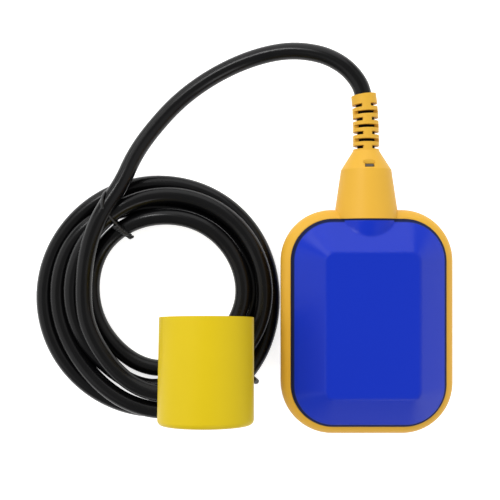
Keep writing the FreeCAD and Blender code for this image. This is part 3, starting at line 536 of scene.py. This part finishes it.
# ---------------------------------------------------------------- rolling ball and lever
# A polished bearing ball rolls along the chamber's guides when the float tips. It pushes a
# lever stamped from spring steel, which turns on a pin beside the microswitch.
ball_steel = finished(
    "bearing_steel", (0.66, 0.66, 0.67), roughness=0.07, variation=0.1, mottle=200.0,
    grain=4000.0, depth=0.02, edge=0.0,
)
lever_steel = finished(
    "lever_steel", (0.52, 0.52, 0.52), roughness=0.28, variation=0.25, mottle=300.0, grain=7000.0,
    depth=0.2, edge=0.0001,
)
for steel in (ball_steel, lever_steel):
    principled(steel).inputs["Metallic"].default_value = 1.0
dress(ball_steel, "steel_ball")
dress(lever_steel, "switch_lever", "lever_pin")

# ---------------------------------------------------------------- microswitch
# A standard microswitch: a black phenolic case with a cream lid, a red plunger, a copper
# changeover blade and three tinned brass terminals.
case_black = finished(
    "switch_black", (0.014, 0.014, 0.015), roughness=0.42, variation=0.25, mottle=200.0,
    grain=3000.0, depth=0.3,
)
dress(case_black, "switch_base")
case_cream = finished(
    "switch_cream", (0.58, 0.52, 0.38), roughness=0.45, variation=0.08, mottle=100.0,
    grain=2600.0, depth=0.25,
)
dress(case_cream, "switch_cover")
button_red = finished(
    "button_red", (0.50, 0.012, 0.010), roughness=0.3, variation=0.1, mottle=300.0, grain=3000.0,
    depth=0.1, edge=0.0001,
)
dress(button_red, "switch_plunger")
copper = finished(
    "blade_copper", (0.72, 0.36, 0.20), roughness=0.26, variation=0.2, mottle=400.0, grain=8000.0,
    depth=0.12, edge=0.0001,
)
brass = finished(
    "tinned_brass", (0.68, 0.62, 0.48), roughness=0.3, variation=0.2, mottle=400.0, grain=8000.0,
    depth=0.15, edge=0.0001,
)
for metal in (copper, brass):
    principled(metal).inputs["Metallic"].default_value = 1.0
dress(copper, "contact_blade")
dress(brass, "terminal_common", "terminal_open", "terminal_closed")

# ---------------------------------------------------------------- cut end
# The cable's other end is cut off square: three insulated cores of fine copper strands show
# in the sheath's face.
CORE_RADIUS = 0.00125
CORE_PLACE = 0.00155
CORE_STUB = 0.0010
CORE_INSULATION = 0.0005
STRANDS_OUT = 0.0003
FACING_UP = 0.9
EDGE_ANGLE = math.radians(40)

before, end = (Vector(point.co[:3]) for point in cable.data.splines[0].points[-2:])
outward = (end - before).normalized()
across = outward.cross(Vector((0, 0, 1))).normalized()
above = across.cross(outward)
strand_copper = finished(
    "core_strands", (0.62, 0.27, 0.12), roughness=0.35, variation=0.4, mottle=1500.0,
    grain=9000.0, depth=0.6, edge=0.0,
)
principled(strand_copper).inputs["Metallic"].default_value = 1.0


def cut_core(name, turn, insulation):
    """Stub of a core: its insulation, inset and drawn out into the strands."""
    side = across * math.cos(turn) + above * math.sin(turn)
    bpy.ops.object.select_all(action="DESELECT")
    bpy.ops.mesh.primitive_cylinder_add(vertices=32, radius=CORE_RADIUS, depth=CORE_STUB)
    core = bpy.context.object
    core.name = name
    core.data.materials.append(insulation)
    core.data.materials.append(strand_copper)
    bpy.ops.object.mode_set(mode="EDIT")
    bpy.ops.mesh.select_all(action="DESELECT")
    mesh = bmesh.from_edit_mesh(core.data)
    for face in mesh.faces:
        face.select = face.normal.z > FACING_UP
    bmesh.update_edit_mesh(core.data)
    bpy.ops.mesh.inset(thickness=CORE_INSULATION, depth=0)
    core.active_material_index = 1
    bpy.ops.object.material_slot_assign()
    bpy.ops.mesh.extrude_region_move(TRANSFORM_OT_translate={"value": (0, 0, STRANDS_OUT)})
    bpy.ops.object.mode_set(mode="OBJECT")
    bpy.ops.object.shade_smooth_by_angle(angle=EDGE_ANGLE)
    core.rotation_euler = outward.to_track_quat("Z", "Y").to_euler()
    core.location = end + side * CORE_PLACE
    bpy.ops.object.transform_apply(location=True, rotation=True, scale=True)
    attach(core, "float")
    return core


# ---------------------------------------------------------------- cores
# The cable's three cores have brown, black and blue insulation. In the chamber each ends in a
# push-on receptacle under a red vinyl sleeve, and at the cut end each shows its strands.
crimp_vinyl = finished(
    "crimp_vinyl", (0.45, 0.03, 0.03), roughness=0.35, variation=0.2, mottle=200.0, grain=2500.0,
    depth=0.15,
)
dress(crimp_vinyl, "crimp_sleeves")
for place, (slot, color, node) in enumerate((
    ("core_brown", (0.10, 0.035, 0.014), "core_common"),
    ("core_black", (0.010, 0.010, 0.010), "core_open"),
    ("core_blue", (0.02, 0.09, 0.42), "core_closed"),
)):
    insulation = finished(
        slot, color, roughness=0.4, variation=0.15, mottle=200.0, grain=3000.0, depth=0.1,
        edge=0.0,
    )
    dress(insulation, node)
    stub = cut_core("cut_" + slot, math.radians(90 + 120 * place), insulation)

# ---------------------------------------------------------------- counterweight
# The counterweight is a moulded shell with a pressed-in cap, closed round its ballast of iron
# grit and cement. Handling has left its skin a little uneven.
WEIGHT_YELLOW = (0.67, 0.49, 0.007)
WEIGHT_SPECULAR = 0.16
weight_plastic = finished(
    "yellow_weight", WEIGHT_YELLOW, roughness=0.42, variation=0.06, mottle=45.0, grain=1300.0,
    depth=0.2, edge=0.0,
)
principled(weight_plastic).inputs["Specular IOR Level"].default_value = WEIGHT_SPECULAR
dress(weight_plastic, "weight_shell", "weight_cap")
ballast = finished(
    "ballast", (0.16, 0.15, 0.14), roughness=0.85, variation=0.5, mottle=500.0, grain=2500.0,
    depth=1.0,
)
dress(ballast, "weight_core")

# ---------------------------------------------------------------- table and light
# The table is a plain pale floor, as a board painted matt white, under soft studio lamps that
# stand round it.
FLOOR_REACH = 4.0
FLOOR_GREY = (0.8, 0.8, 0.8, 1.0)
FLOOR_GLOW = 0.78
WORLD_LIGHT = 0.42
WHITE = (1.0, 1.0, 1.0, 1.0)
MIDDLE = (-0.05, 0.03, 0.02)
# name, place, size and power
LAMPS = (
    ("key_lamp", (-0.55, 0.60, 0.95), 0.22, 3.8),
    ("window_lamp", (-0.05, 1.25, 0.50), 1.3, 8.5),
    ("corner_lamp", (-0.80, 0.95, 0.46), 0.4, 1.6),
    ("side_lamp", (1.10, 0.10, 0.70), 2.0, 6.4),
    ("left_lamp", (-1.10, -0.05, 0.60), 1.3, 4.5),
    ("fill_lamp", (0.35, -0.95, 0.80), 0.5, 3.0),
)

floor_mesh = bpy.data.meshes.new("floor")
shape = bmesh.new()
bmesh.ops.create_grid(shape, x_segments=1, y_segments=1, size=FLOOR_REACH)
shape.to_mesh(floor_mesh)
shape.free()
floor = bpy.data.objects.new("floor", floor_mesh)
scene.collection.objects.link(floor)
floor_paint = bpy.data.materials.new("floor")
floor_paint.use_nodes = True
tree = floor_paint.node_tree
shader = tree.nodes["Principled BSDF"]
shader.inputs["Base Color"].default_value = FLOOR_GREY
shader.inputs["Roughness"].default_value = 0.9
shader.inputs["Specular IOR Level"].default_value = 0.0
path = tree.nodes.new("ShaderNodeLightPath")
seen = tree.nodes.new("ShaderNodeMath")
seen.operation = "ADD"
seen.use_clamp = True
tree.links.new(path.outputs["Is Camera Ray"], seen.inputs[0])
also = tree.nodes.new("ShaderNodeMath")
also.operation = "ADD"
tree.links.new(path.outputs["Is Glossy Ray"], also.inputs[0])
tree.links.new(path.outputs["Is Transmission Ray"], also.inputs[1])
tree.links.new(also.outputs[0], seen.inputs[1])
lift = tree.nodes.new("ShaderNodeMath")
lift.operation = "MULTIPLY"
lift.inputs[1].default_value = FLOOR_GLOW
tree.links.new(seen.outputs[0], lift.inputs[0])
shader.inputs["Emission Color"].default_value = WHITE
tree.links.new(lift.outputs[0], shader.inputs["Emission Strength"])
floor_mesh.materials.append(floor_paint)


def soft_lamp(name, place, size, power):
    """A square soft box that faces the object."""
    lamp = bpy.data.objects.new(name, bpy.data.lights.new(name, "AREA"))
    lamp.data.shape = "SQUARE"
    lamp.data.size = size
    lamp.data.energy = power
    lamp.location = place
    lamp.rotation_euler = (Vector(MIDDLE) - Vector(place)).to_track_quat("-Z", "Y").to_euler()
    scene.collection.objects.link(lamp)


for lamp in LAMPS:
    soft_lamp(*lamp)
world = bpy.data.worlds.new("studio")
world.use_nodes = True
sky = world.node_tree.nodes["Background"]
sky.inputs["Color"].default_value = WHITE
sky.inputs["Strength"].default_value = WORLD_LIGHT
scene.world = world
